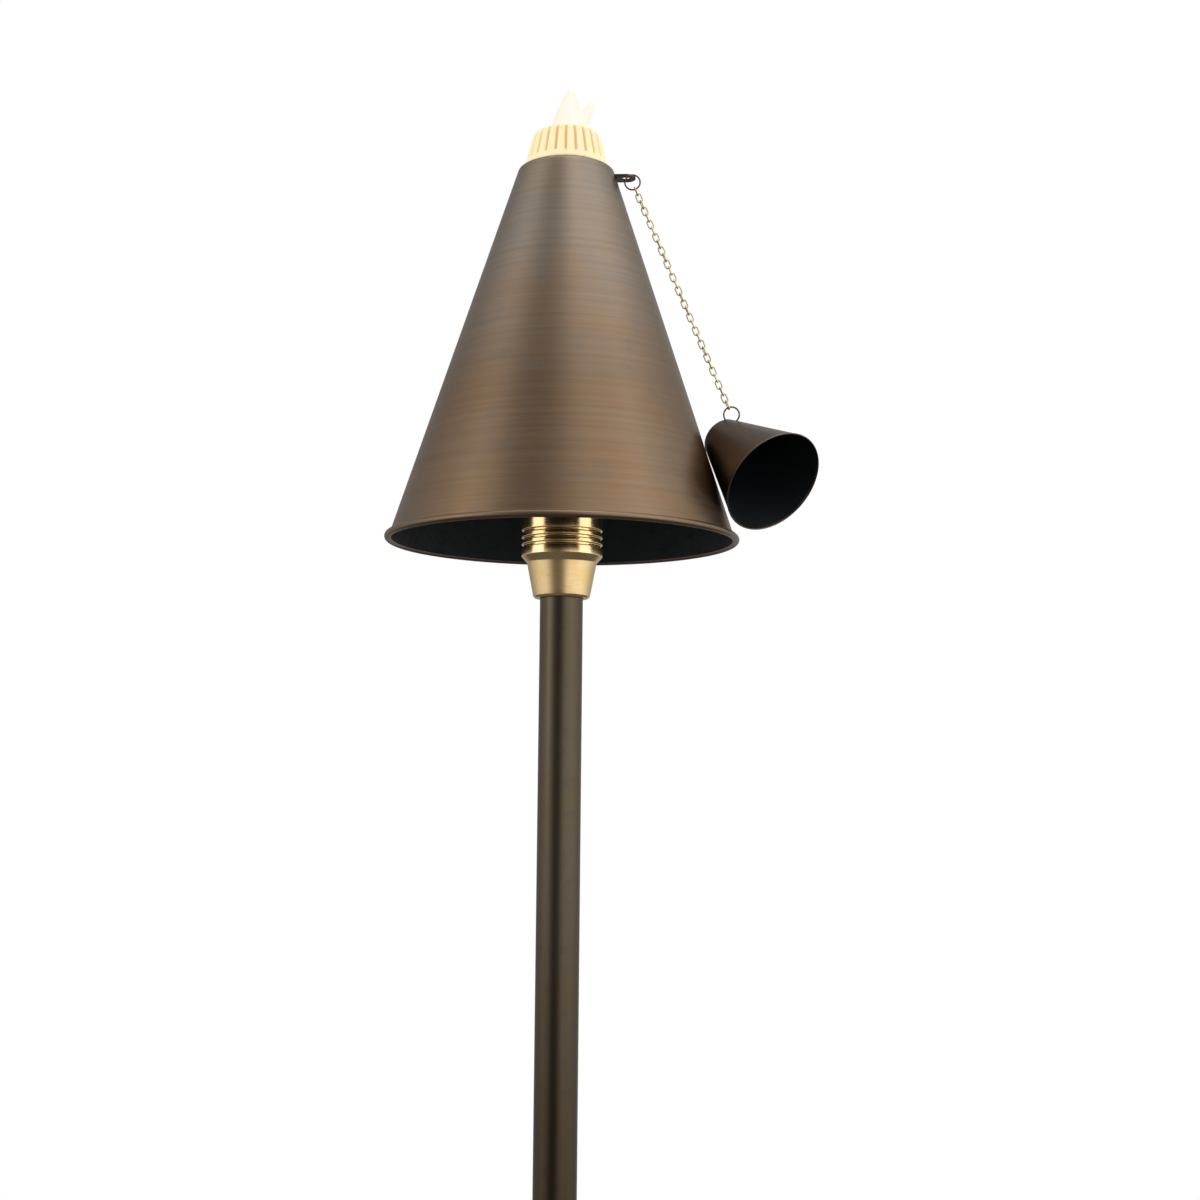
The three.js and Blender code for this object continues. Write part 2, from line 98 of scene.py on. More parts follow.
# ---- Studio ----
# White walls at the sides that grow dim behind, a grey gap in front, a bright ceiling and a dim
# lower half. The gap leans as it rises. The camera itself sees plain white.
def feed(tree, socket, value):
    """Links a node's output to the socket, or sets a plain value. A tuple is a colour."""
    if isinstance(value, bpy.types.NodeSocket):
        tree.links.new(value, socket)
    else:
        socket.default_value = (*value, 1) if isinstance(value, tuple) else value


def add_node(tree, kind, **values):
    """A new shader node, with each value given to the attribute or the input of that name."""
    node = tree.nodes.new(kind)
    for key, value in values.items():
        if hasattr(node, key):
            setattr(node, key, value)
        else:
            node.inputs[key.replace("_", " ").title()].default_value = value
    return node


def maths(tree, operation, a, b=0.0):
    """A Math node, where a and b are each a number or another node's output."""
    node = tree.nodes.new("ShaderNodeMath")
    node.operation = operation
    feed(tree, node.inputs[0], a)
    feed(tree, node.inputs[1], b)
    return node.outputs[0]


def ease(tree, value, low, high, start=0.0, end=1.0):
    """A smooth step of value from start at low to end at high."""
    node = tree.nodes.new("ShaderNodeMapRange")
    node.interpolation_type = "SMOOTHSTEP"
    labels = ("Value", "From Min", "From Max", "To Min", "To Max")
    for label, given in zip(labels, (value, low, high, start, end)):
        feed(tree, node.inputs[label], given)
    return node.outputs["Result"]


def mixed_colour(tree, share, a, b, blend="MIX"):
    """Colour a turned into b by the share, or blended with it."""
    node = tree.nodes.new("ShaderNodeMix")
    node.data_type = "RGBA"
    node.blend_type = blend
    feed(tree, node.inputs["Factor"], share)
    feed(tree, node.inputs["A"], a)
    feed(tree, node.inputs["B"], b)
    return node.outputs["Result"]


world = bpy.data.worlds.new("studio")
bpy.context.scene.world = world
world.use_nodes = True
sky = world.node_tree
sky.nodes.clear()
direction = sky.nodes.new("ShaderNodeTexCoord").outputs["Generated"]
split = sky.nodes.new("ShaderNodeSeparateXYZ")
sky.links.new(direction, split.inputs[0])
azimuth = maths(sky, "ARCTAN2", split.outputs["X"], maths(sky, "MULTIPLY", split.outputs["Y"], -1.0))
gap_centre = ease(sky, split.outputs["Z"], 0.35, 1.0, math.radians(13), math.radians(32))
off_gap = maths(sky, "ABSOLUTE", maths(sky, "ADD", azimuth, gap_centre))
gap_light = ease(sky, split.outputs["Z"], 0.66, 0.8, 0.2, 0.52)
gap_share = ease(sky, off_gap, math.radians(8), math.radians(46))
gap_rise = maths(sky, "MULTIPLY", gap_share, maths(sky, "SUBTRACT", 1.0, gap_light))
walls = maths(sky, "ADD", gap_light, gap_rise)
right_wall = ease(sky, azimuth, -0.3, 0.5, 0.8, 1.06)
behind = ease(sky, maths(sky, "ABSOLUTE", azimuth), math.radians(75), math.radians(145), 1.0, 0.4)
above = ease(sky, split.outputs["Z"], -0.5, -0.24, 0.08, 1.0)
overhead = ease(sky, split.outputs["Z"], 0.84, 0.97, 1.0, 2.0)
sides = maths(sky, "MULTIPLY", maths(sky, "MULTIPLY", walls, right_wall), behind)
glow = maths(sky, "MULTIPLY", sides, maths(sky, "MULTIPLY", above, overhead))
seen = sky.nodes.new("ShaderNodeLightPath").outputs["Is Camera Ray"]
strength = sky.nodes.new("ShaderNodeMix")
sky.links.new(seen, strength.inputs["Factor"])
sky.links.new(glow, strength.inputs["A"])
strength.inputs["B"].default_value = 1.0
backdrop = sky.nodes.new("ShaderNodeBackground")
backdrop.inputs["Color"].default_value = (1, 1, 1, 1)
sky.links.new(strength.outputs["Result"], backdrop.inputs["Strength"])
sky_out = sky.nodes.new("ShaderNodeOutputWorld")
sky.links.new(backdrop.outputs[0], sky_out.inputs["Surface"])


def soft_box(name, place, aim, width, height, power):
    """A large area light at place that faces aim."""
    data = bpy.data.lights.new(name, "AREA")
    data.shape = "RECTANGLE"
    data.size = width
    data.size_y = height
    data.energy = power
    light = bpy.data.objects.new(name, data)
    bpy.context.scene.collection.objects.link(light)
    light.location = place
    light.rotation_euler = (Vector(aim) - Vector(place)).to_track_quat("-Z", "Y").to_euler()
    light.visible_camera = False


torch_middle = (0, 0, 1.0)
soft_box("left_light", (-1.9, -0.9, 1.6), torch_middle, width=1.0, height=1.6, power=3)
soft_box("right_light", (1.8, -1.0, 1.9), torch_middle, width=1.0, height=1.6, power=2)
hub_level = bead_level + 6 * MM
for side in (-1, 1):
    hub_light_place = (side * 58 * MM, -32 * MM, hub_level)
    soft_box("hub_light", hub_light_place, (0, 0, hub_level), width=40 * MM, height=34 * MM, power=0.0065)

# The floor is pale to the camera and dark to every other ray, so that it doesn't light the metal.
FLOOR_HALF = 2.0
floor_level = cad_box[0].z - 2 * MM
floor_mesh = bpy.data.meshes.new("floor")
floor_signs = ((-1, -1), (1, -1), (1, 1), (-1, 1))
floor_corners = [(x * FLOOR_HALF, y * FLOOR_HALF, floor_level) for x, y in floor_signs]
floor_mesh.from_pydata(floor_corners, [], [(0, 1, 2, 3)])
floor = bpy.data.objects.new("floor", floor_mesh)
bpy.context.scene.collection.objects.link(floor)
floor_paint = bpy.data.materials.new("floor_paint")
floor_paint.use_nodes = True
floor_tree = floor_paint.node_tree
floor_shader = floor_tree.nodes["Principled BSDF"]
floor_shader.inputs["Roughness"].default_value = 0.9
floor_seen = floor_tree.nodes.new("ShaderNodeLightPath").outputs["Is Camera Ray"]
floor_colour = mixed_colour(floor_tree, floor_seen, (0.14, 0.14, 0.14), (0.85, 0.85, 0.85))
floor_tree.links.new(floor_colour, floor_shader.inputs["Base Color"])
floor_mesh.materials.append(floor_paint)


# ---- Ground stake ----
# Moulded black plastic: a cross-finned spike, a flange that stops at the soil, and a collar
# that the stem drops into. A slot in the collar lets the supply cable out.
def shader_of(made):
    return made.node_tree.nodes["Principled BSDF"]


def fresh_material(name, colour, roughness, metallic=0.0):
    """A Principled material with its plain values set, and its node tree and shader."""
    made = bpy.data.materials.new(name)
    made.use_nodes = True
    shader = shader_of(made)
    shader.inputs["Base Color"].default_value = (*colour, 1)
    shader.inputs["Roughness"].default_value = roughness
    shader.inputs["Metallic"].default_value = metallic
    return made, made.node_tree, shader


def object_coordinates(tree):
    return tree.nodes.new("ShaderNodeTexCoord").outputs["Object"]


def new_group(name, inputs, outputs):
    """An empty node group with sockets of (name, kind, default), and its two end nodes."""
    tree = bpy.data.node_groups.new(name, "ShaderNodeTree")
    for label, kind, default in inputs:
        socket = tree.interface.new_socket(label, in_out="INPUT", socket_type=kind)
        if default is not None:
            socket.default_value = default
    for label, kind in outputs:
        tree.interface.new_socket(label, in_out="OUTPUT", socket_type=kind)
    return tree, tree.nodes.new("NodeGroupInput"), tree.nodes.new("NodeGroupOutput")


def grain_group():
    """Fine marks: noise on the position scaled by Around across and by Along up the piece."""
    tree, given, out = new_group(
        "grain",
        [("Vector", "NodeSocketVector", None), ("Around", "NodeSocketFloat", 40.0),
         ("Along", "NodeSocketFloat", 900.0)],
        [("Height", "NodeSocketFloat"), ("Mask", "NodeSocketFloat")],
    )
    scale = tree.nodes.new("ShaderNodeCombineXYZ")
    for axis, label in (("X", "Around"), ("Y", "Around"), ("Z", "Along")):
        tree.links.new(given.outputs[label], scale.inputs[axis])
    stretched = tree.nodes.new("ShaderNodeVectorMath")
    stretched.operation = "MULTIPLY"
    tree.links.new(given.outputs["Vector"], stretched.inputs[0])
    tree.links.new(scale.outputs[0], stretched.inputs[1])
    noise = add_node(tree, "ShaderNodeTexNoise", scale=1.0, detail=4.0, roughness=0.65)
    tree.links.new(stretched.outputs[0], noise.inputs["Vector"])
    tree.links.new(noise.outputs["Fac"], out.inputs["Height"])
    tree.links.new(ease(tree, noise.outputs["Fac"], 0.35, 0.65), out.inputs["Mask"])
    return tree


def mottle_group():
    """A blotchy finish: Main drifts to Warm in wide clouds and to Cool in smaller ones."""
    tree, given, out = new_group(
        "mottle",
        [("Vector", "NodeSocketVector", None), ("Scale", "NodeSocketFloat", 20.0),
         ("Main", "NodeSocketColor", None), ("Warm", "NodeSocketColor", None),
         ("Cool", "NodeSocketColor", None)],
        [("Color", "NodeSocketColor"), ("Mask", "NodeSocketFloat")],
    )
    mixed = given.outputs["Main"]
    for label, step, low, high, share in (("Warm", 1.0, 0.42, 0.68, 1.0), ("Cool", 2.7, 0.5, 0.75, 0.8)):
        noise = add_node(tree, "ShaderNodeTexNoise", detail=3.0, roughness=0.55)
        tree.links.new(given.outputs["Vector"], noise.inputs["Vector"])
        tree.links.new(maths(tree, "MULTIPLY", given.outputs["Scale"], step), noise.inputs["Scale"])
        amount = ease(tree, noise.outputs["Fac"], low, high, 0.0, share)
        mixed = mixed_colour(tree, amount, mixed, given.outputs[label])
    tree.links.new(mixed, out.inputs["Color"])
    tree.links.new(amount, out.inputs["Mask"])
    return tree


GRAIN = grain_group()
MOTTLE = mottle_group()


def place_group(tree, group, **values):
    """The group's node in tree, with each value or output given to the input of that name."""
    node = tree.nodes.new("ShaderNodeGroup")
    node.node_tree = group
    for label, value in values.items():
        feed(tree, node.inputs[label], value)
    return node


def bump(tree, shader, height, distance):
    """The height as small relief on the shader's normal. Distance is in metres."""
    node = tree.nodes.new("ShaderNodeBump")
    node.inputs["Distance"].default_value = distance
    tree.links.new(height, node.inputs["Height"])
    tree.links.new(node.outputs["Normal"], shader.inputs["Normal"])


def finish(name, main, warm, cool, rough, metallic=1.0, mottle=20.0, grain=(40.0, 900.0), relief=0.02,
           own=None):
    """A blotchy colour, a roughness that varies between the two in rough, and fine grain. It reads
    object coordinates, or the vector attribute that own names."""
    made, tree, shader = fresh_material(name, main, rough[0], metallic)
    if own:
        read = tree.nodes.new("ShaderNodeAttribute")
        read.attribute_name = own
        place = read.outputs["Vector"]
    else:
        place = object_coordinates(tree)
    cloud = place_group(tree, MOTTLE, Vector=place, Scale=mottle, Main=main, Warm=warm, Cool=cool)
    marks = place_group(tree, GRAIN, Vector=place, Around=grain[0], Along=grain[1])
    tree.links.new(cloud.outputs["Color"], shader.inputs["Base Color"])
    both = maths(tree, "ADD", maths(tree, "MULTIPLY", marks.outputs["Mask"], 0.5),
                 maths(tree, "MULTIPLY", cloud.outputs["Mask"], 0.5))
    tree.links.new(ease(tree, both, 0.0, 1.0, *rough), shader.inputs["Roughness"])
    bump(tree, shader, marks.outputs["Height"], relief * MM)
    return made


def carry(piece, nodes):
    """The piece moves with its CAD nodes' body and is shown for them."""
    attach(piece, frame["nodes"][nodes[0]]["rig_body"])
    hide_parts(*nodes)


def smooth(mesh, degrees=35):
    mesh.shade_smooth()
    mesh.set_sharp_from_angle(angle=math.radians(degrees))


def new_piece(name, mesh, materials):
    piece = bpy.data.objects.new(name, mesh)
    bpy.context.scene.collection.objects.link(piece)
    for made in materials:
        mesh.materials.append(made)
    return piece


def eased_copy(node, width, material):
    """A copy of a CAD node with its flat faces merged and its sharp edges rounded to width."""
    work = bmesh.new()
    work.from_mesh(frame["nodes"][node].data)
    bmesh.ops.remove_doubles(work, verts=work.verts, dist=1e-6)
    bmesh.ops.dissolve_limit(work, angle_limit=math.radians(0.5), verts=work.verts, edges=work.edges)
    mesh = bpy.data.meshes.new(node + "_piece")
    work.to_mesh(mesh)
    work.free()
    piece = new_piece(node + "_piece", mesh, [material])
    edge = piece.modifiers.new("edge", "BEVEL")
    edge.width = width
    edge.segments = 2
    edge.limit_method = "ANGLE"
    edge.angle_limit = math.radians(32)
    smooth(mesh, 40)
    carry(piece, [node])
    return piece


black_plastic = finish(
    "black_plastic", (0.018, 0.018, 0.02), (0.026, 0.025, 0.024), (0.012, 0.012, 0.014),
    (0.45, 0.65), metallic=0.0, grain=(1400.0, 1400.0), relief=0.03)
eased_copy("ground_stake", 0.5 * MM, black_plastic)

# ---- Set screws ----
# Cup-point grub screws of plain steel, turned with a socket in the end. One sits in the stake's
# collar and one in the back of the hub, and each bears on the stem.
machined_steel = finish(
    "machined_steel", (0.42, 0.42, 0.41), (0.36, 0.35, 0.33), (0.5, 0.5, 0.5), (0.25, 0.45),
    mottle=200.0, grain=(900.0, 900.0), relief=0.01)
for node in ("stake_set_screw", "hub_set_screw"):
    eased_copy(node, 0.15 * MM, machined_steel)


# ---- Stem ----
# Half-inch brass pipe with an aged brown finish, and painted shade that darkens it towards the
# ground. It was drawn through a die, so its marks run lengthwise. It drops into the stake's collar
# and stands up into the hub.
TURN = 2 * math.pi


def fillet(corners, radius, steps=4):
    """Rounds a closed outline: each corner becomes a curve (1-t)^2 a + 2t(1-t) p + t^2 b, where a and b
    lie on the corner's two sides, radius or at most 0.45 of the side away."""
    points = np.array(corners, float)
    before = np.roll(points, 1, 0) - points
    after = np.roll(points, -1, 0) - points
    t = np.linspace(0, 1, steps + 1)[None, :, None]
    reach = [np.minimum(radius, 0.45 * np.linalg.norm(side, axis=1)) for side in (before, after)]
    a, b = (points + side * (far / np.linalg.norm(side, axis=1))[:, None]
            for side, far in zip((before, after), reach))
    p = points[:, None]
    curves = (1 - t) ** 2 * a[:, None] + 2 * t * (1 - t) * p + t ** 2 * b[:, None]
    return curves.reshape(-1, 2)


def refine(outline, longest, closed=True):
    """Adds points so that no stretch of the outline is longer than longest."""
    ends = np.roll(outline, -1, 0) if closed else outline[1:]
    starts = outline if closed else outline[:-1]
    pieces = [a + (b - a) * (np.arange(n) / n)[:, None] for a, b, n in zip(
        starts, ends, np.ceil(np.linalg.norm(ends - starts, axis=1) / longest).astype(int).clip(1))]
    return np.concatenate(pieces if closed else [*pieces, outline[-1:]])


def skin(name, rows, wrap_rows=False):
    """A closed quad surface from an array of rows x columns x 3. Columns always wrap round, and
    wrap_rows joins the last row to the first. Points that meet, as at a pole, are merged."""
    height, width = rows.shape[:2]
    index = np.arange(height * width).reshape(height, width)
    low = index if wrap_rows else index[:-1]
    high = np.roll(index, -1, 0) if wrap_rows else index[1:]
    faces = np.stack([low, np.roll(low, -1, 1), np.roll(high, -1, 1), high], -1).reshape(-1, 4)
    mesh = bpy.data.meshes.new(name)
    mesh.from_pydata(rows.reshape(-1, 3), [], faces)
    work = bmesh.new()
    work.from_mesh(mesh)
    bmesh.ops.remove_doubles(work, verts=work.verts, dist=1e-7)
    work.to_mesh(mesh)
    work.free()
    return mesh


def turned(name, outline, columns=96, closed=True):
    """An outline of (radius, height) turned about Z: (r cos a, r sin a, h) for a round the turn."""
    angle = np.linspace(0, TURN, columns, endpoint=False)
    r, h = outline[:, :1], outline[:, 1:]
    rows = np.stack([r * np.cos(angle), r * np.sin(angle), h + 0 * angle], -1)
    return skin(name, rows, wrap_rows=closed)


def pipe(name, node, wall, edge, columns=96, longest=12 * MM):
    """A plain pipe that fills the node's box, with rounded ends."""
    low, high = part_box(node)
    outer = high.x
    corners = [(outer - wall, low.z), (outer, low.z), (outer, high.z), (outer - wall, high.z)]
    return turned(name, refine(fillet(corners, edge), longest), columns)


def drift_group():
    """A colour times a tint that eases from FootTint at the height Foot to TopTint at Top."""
    tree, given, out = new_group(
        "height_drift",
        [("Vector", "NodeSocketVector", None), ("Color", "NodeSocketColor", None),
         ("Foot", "NodeSocketFloat", 0.0), ("Top", "NodeSocketFloat", 1.0),
         ("FootTint", "NodeSocketColor", None), ("TopTint", "NodeSocketColor", None)],
        [("Color", "NodeSocketColor")],
    )
    height = tree.nodes.new("ShaderNodeSeparateXYZ")
    tree.links.new(given.outputs["Vector"], height.inputs[0])
    share = ease(tree, height.outputs["Z"], given.outputs["Foot"], given.outputs["Top"])
    tint = mixed_colour(tree, share, given.outputs["FootTint"], given.outputs["TopTint"])
    tree.links.new(mixed_colour(tree, 1.0, given.outputs["Color"], tint, "MULTIPLY"), out.inputs["Color"])
    return tree


DRIFT = drift_group()


def drift(made, foot, top, foot_tint, top_tint):
    """Puts a height drift between the material's base colour and its shader."""
    tree, base = made.node_tree, shader_of(made).inputs["Base Color"]
    tinted = place_group(
        tree, DRIFT, Vector=object_coordinates(tree), Color=base.links[0].from_socket, Foot=foot, Top=top,
        FootTint=foot_tint, TopTint=top_tint)
    tree.links.new(tinted.outputs["Color"], base)


aged_brass = finish(
    "aged_brass", (0.12, 0.1, 0.068), (0.125, 0.096, 0.06), (0.108, 0.092, 0.066), (0.26, 0.38),
    mottle=45.0, grain=(700.0, 12.0), relief=0.008)
# Painted shade: this tint darkens the stem towards the ground, where less light reaches it.
drift(aged_brass, 0.6, 0.8, (0.62, 0.56, 0.5), (1.0, 1.0, 1.0))
stem = new_piece("stem_pipe", pipe("stem_pipe", "stem", 2.7 * MM, 0.4 * MM), [aged_brass])
smooth(stem.data)
carry(stem, ["stem"])


# ---- Hub ----
# Turned from solid brass: a taper that meets the stem, a shoulder, and three grooves. Its bore
# takes the stem below and the riser above, and a grub screw locks it at the back.
def hole_cutter(radius, place, axis, length):
    """A round cutter of that length, centred on place, along axis."""
    data = bpy.data.meshes.new("cutter")
    work = bmesh.new()
    bmesh.ops.create_cone(work, cap_ends=True, segments=32, radius1=radius, radius2=radius, depth=length)
    work.to_mesh(data)
    work.free()
    data.transform(Matrix.Translation(place) @ Vector(axis).to_track_quat("Z", "Y").to_matrix().to_4x4())
    return data


def pierce(mesh, cutters):
    """The mesh with each cutter's shape taken out of it."""
    body = bpy.data.objects.new("body", mesh)
    tools = [bpy.data.objects.new("tool", data) for data in cutters]
    for item in (body, *tools):
        bpy.context.scene.collection.objects.link(item)
    for tool in tools:
        cut = body.modifiers.new("cut", "BOOLEAN")
        cut.object = tool
        cut.solver = "EXACT"
    bpy.context.view_layer.update()
    done = bpy.data.meshes.new_from_object(body.evaluated_get(bpy.context.evaluated_depsgraph_get()))
    for item in (body, *tools):
        bpy.data.objects.remove(item)
    done.name = mesh.name
    return done


hub_low, hub_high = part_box("hub")
hub_radius = hub_high.x
stem_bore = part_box("stem")[1].x + 0.3 * MM
stem_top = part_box("stem")[1].z + 0.3 * MM
riser_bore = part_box("riser_tube")[1].x + 0.3 * MM
groove_half, groove_deep = 0.8 * MM, 1.1 * MM
hub_corners = [
    (stem_bore, hub_low.z),
    (13.2 * MM, hub_low.z),
    (14.1 * MM, hub_low.z + 0.9 * MM),
    (17.35 * MM, bead_level - 11.5 * MM),
    (hub_radius, bead_level - 8.4 * MM),
]
for centre in (-3.5 * MM, 0, 3.6 * MM):
    low, high = bead_level + centre - groove_half, bead_level + centre + groove_half
    deep = hub_radius - groove_deep
    hub_corners += [(hub_radius, low), (deep, low + 0.2 * MM), (deep, high - 0.2 * MM), (hub_radius, high)]
hub_corners += [
    (hub_radius, hub_high.z - 1 * MM),
    (hub_radius - 1 * MM, hub_high.z),
    (riser_bore, hub_high.z),
    (riser_bore, stem_top + 4 * MM),
    (5 * MM, stem_top + 4 * MM),
    (5 * MM, stem_top),
    (stem_bore, stem_top),
]
hub_blank = turned("hub_body", refine(fillet(hub_corners, 0.35 * MM), 3 * MM), 128)
screw_hole = hole_cutter(2.8 * MM, (0, 20 * MM, hub_low.z + 8 * MM), (0, 1, 0), 20 * MM)
polished_brass = finish(
    "polished_brass", (0.93, 0.68, 0.35), (0.9, 0.63, 0.29), (0.84, 0.62, 0.33), (0.2, 0.3),
    mottle=110.0, grain=(30.0, 1600.0), relief=0.006)
hub = new_piece("hub_body", pierce(hub_blank, [screw_hole]), [polished_brass])
smooth(hub.data, 50)
carry(hub, ["hub"])

# ---- Riser, washer and lock nut ----
# A threaded brass lamp pipe, screwed into the hub's top, that carries the shade. The washer and
# the nut on it clamp the shade's flat top. The leads pass through its bore.
thread_pitch, thread_depth, ROWS_PER_PITCH, RISER_COLUMNS = 1.41 * MM, 0.55 * MM, 6, 40
riser_inner_radius = 4.95 * MM
riser_low, riser_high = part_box("riser_tube")
riser_rows = int((riser_high.z - riser_low.z) / thread_pitch * ROWS_PER_PITCH)
rise = np.linspace(riser_low.z, riser_high.z, riser_rows)[:, None]
around = np.linspace(0, TURN, RISER_COLUMNS, endpoint=False)[None, :]
# Thread: the radius falls by a triangle wave of height over pitch plus the share of a turn.
wave = np.abs(2 * ((rise / thread_pitch - around / TURN) % 1) - 1)
riser_outer = riser_high.x - thread_depth * wave
riser_inner = np.full((2, RISER_COLUMNS), riser_inner_radius)
riser_r = np.concatenate([riser_outer, riser_inner])
riser_ends = np.broadcast_to([[riser_high.z], [riser_low.z]], (2, RISER_COLUMNS))
riser_z = np.concatenate([rise + 0 * around, riser_ends])
riser_angle = np.broadcast_to(around, riser_r.shape)
riser_points = np.stack([riser_r * np.cos(riser_angle), riser_r * np.sin(riser_angle), riser_z], -1)
riser = new_piece("riser_thread", skin("riser_thread", riser_points, wrap_rows=True), [polished_brass])
smooth(riser.data, 60)
carry(riser, ["riser_tube"])
for node in ("shade_washer", "riser_lock_nut"):
    eased_copy(node, 0.3 * MM, polished_brass)


# ---- Shade ----
# One spun sheet of copper: a cone with a wired bead at the foot, a rounded shoulder and a flat
# top that the riser passes through. Brown patina outside, sooty black inside.
def arc(r, z, radius, start, end, steps):
    """Points on a circle about (r, z), from one angle to another, in degrees."""
    angle = np.radians(np.linspace(start, end, steps + 1))
    return np.stack([r + radius * np.cos(angle), z + radius * np.sin(angle)], -1)


shade_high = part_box("shade")[1]
shade_top = shade_high.z
foot_radius, top_radius, wall = 85.8 * MM, 24 * MM, 1.1 * MM
shade_height = shade_top - bead_level
slope = (foot_radius - top_radius) / shade_height
bead = 1.74 * MM
bead_centre = shade_high.x - bead
shoulder = 2.2 * MM


def cone_radius(height):
    return foot_radius - slope * height


under = shade_height - wall
lean = math.degrees(math.atan(slope))
shoulder_centre = cone_radius(shade_height - shoulder) - shoulder
shade_outline = np.concatenate([
    arc(bead_centre, 0, bead, -165, 122, 28),
    arc(shoulder_centre, shade_height - shoulder, shoulder, lean, 90, 8),
    [(riser_bore, shade_height), (riser_bore, under)],
    arc(cone_radius(under) - 3.2 * MM, under - 2.2 * MM, 2.2 * MM, 90, lean, 6) + (-1.0 * MM, 0),
    [(cone_radius(2 * MM) - wall, 2 * MM)],
])
shade_outline = refine(shade_outline, 5 * MM) + (0, bead_level)
shade_mesh = turned("shade_spun", shade_outline, 256)
strap_low, strap_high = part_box("chain_strap")
strap_level = (strap_low.z + strap_high.z) / 2
hang_angle = math.radians(-3.3)
hang_turn = Matrix.Rotation(hang_angle, 4, "Z")
slot_size = Vector((8, 10.4, 1.7)) * MM
slot_data = bpy.data.meshes.new("slot")
work = bmesh.new()
bmesh.ops.create_cube(work, size=1.0)
work.to_mesh(slot_data)
work.free()
slot_data.transform(
    hang_turn @ Matrix.Translation((cone_radius(strap_level - bead_level), 0, strap_level))
    @ Matrix.Diagonal((*slot_size, 1)))


def face_arrays(mesh):
    """The centre and the outward normal of every face, as arrays."""
    count = len(mesh.polygons)
    centre, normal = np.empty(count * 3), np.empty(count * 3)
    mesh.polygons.foreach_get("center", centre)
    mesh.polygons.foreach_get("normal", normal)
    return centre.reshape(-1, 3), normal.reshape(-1, 3)


patina_and_sheen = finish(
    "brown_patina_and_sheen", (0.252, 0.174, 0.112), (0.262, 0.166, 0.096), (0.225, 0.168, 0.12), (0.32, 0.42),
    mottle=26.0, grain=(9.0, 1500.0), relief=0.008)
soot_black = finish(
    "soot_black", (0.004, 0.0075, 0.0095), (0.005, 0.007, 0.008), (0.004, 0.007, 0.01), (0.55, 0.7),
    metallic=0.0, mottle=60.0, grain=(200.0, 600.0), relief=0.004)
shader_of(soot_black).inputs["Specular IOR Level"].default_value = 0.28

# The colour turns lighter and greyer towards the top as painted sheen, and fine brushing runs
# round the cone.
drift(patina_and_sheen, bead_level + 55 * MM, bead_level + 165 * MM, (1.0, 1.0, 1.0), (1.3, 1.55, 1.95))
patina_tree, patina_base = patina_and_sheen.node_tree, shader_of(patina_and_sheen).inputs["Base Color"]
brushed = place_group(
    patina_tree, GRAIN, Vector=object_coordinates(patina_tree), Around=5.0, Along=480.0)
brushed_colour = patina_tree.nodes.new("ShaderNodeVectorMath")
brushed_colour.operation = "SCALE"
feed(patina_tree, brushed_colour.inputs[0], patina_base.links[0].from_socket)
feed(patina_tree, brushed_colour.inputs["Scale"],
     ease(patina_tree, brushed.outputs["Height"], 0.3, 0.7, 0.93, 1.07))
patina_tree.links.new(brushed_colour.outputs["Vector"], patina_base)
shade = new_piece("shade_spun", pierce(shade_mesh, [slot_data]), [patina_and_sheen, soot_black])
middle, facing = face_arrays(shade.data)
outward = (middle[:, :2] * facing[:, :2]).sum(1)
inner_side = (outward < 0) & (middle[:, 2] > bead_level + 0.5 * MM)
inner_side |= (facing[:, 2] < -0.5) & (middle[:, 2] > bead_level + 20 * MM)
shade.data.polygons.foreach_set("material_index", inner_side.astype(np.int32))
smooth(shade.data, 40)
carry(shade, ["shade"])

# ---- Chain strap ----
# A flat copper strap: an eye that the riser's nut clamps, and a round end with a hole, which
# sticks out through the slot in the shade.
STRAP_HALF, EYE_RADIUS, HOLE_PLACE, HOLE_RADIUS = 4.9 * MM, 10 * MM, 30.5 * MM, 2.2 * MM
meet = math.degrees(math.asin(STRAP_HALF / EYE_RADIUS))
strap_outline = np.concatenate([
    arc(0, 0, EYE_RADIUS, meet, 360 - meet, 48),
    arc(HOLE_PLACE, 0, STRAP_HALF, -90, 90, 32),
])
strap_curve = bpy.data.curves.new("strap", "CURVE")
strap_curve.dimensions = "2D"
strap_curve.fill_mode = "BOTH"
riser_hole = arc(0, 0, riser_bore, 0, 352, 44)
ring_hole = arc(HOLE_PLACE, 0, HOLE_RADIUS + 0.1 * MM, 0, 350, 35)
for outline in (strap_outline, riser_hole, ring_hole):
    spline = strap_curve.splines.new("POLY")
    spline.points.add(len(outline) - 1)
    flat = np.column_stack([outline, np.zeros(len(outline)), np.ones(len(outline))])
    spline.points.foreach_set("co", flat.ravel())
    spline.use_cyclic_u = True
edge = 0.12 * MM
strap_curve.extrude = (strap_high.z - strap_low.z) / 2 - edge
strap_curve.bevel_depth = edge
strap_curve.bevel_resolution = 2
strap_curve.offset = -edge
flat_strap = bpy.data.objects.new("strap", strap_curve)
bpy.context.scene.collection.objects.link(flat_strap)
bpy.context.view_layer.update()
filled_strap = flat_strap.evaluated_get(bpy.context.evaluated_depsgraph_get())
strap_mesh = bpy.data.meshes.new_from_object(filled_strap)
bpy.data.objects.remove(flat_strap)
strap_mesh.transform(Matrix.Translation((0, 0, strap_level)) @ hang_turn)
# Painted shade: this copper is darker than the shade's, for the strap's underside seen in shadow.
dark_copper = finish(
    "dark_copper", (0.115, 0.085, 0.065), (0.125, 0.08, 0.055), (0.09, 0.075, 0.062), (0.28, 0.42),
    mottle=60.0, grain=(14.0, 1300.0), relief=0.014)
strap = new_piece("strap_flat", strap_mesh, [dark_copper])
smooth(strap.data, 50)
carry(strap, ["chain_strap"])

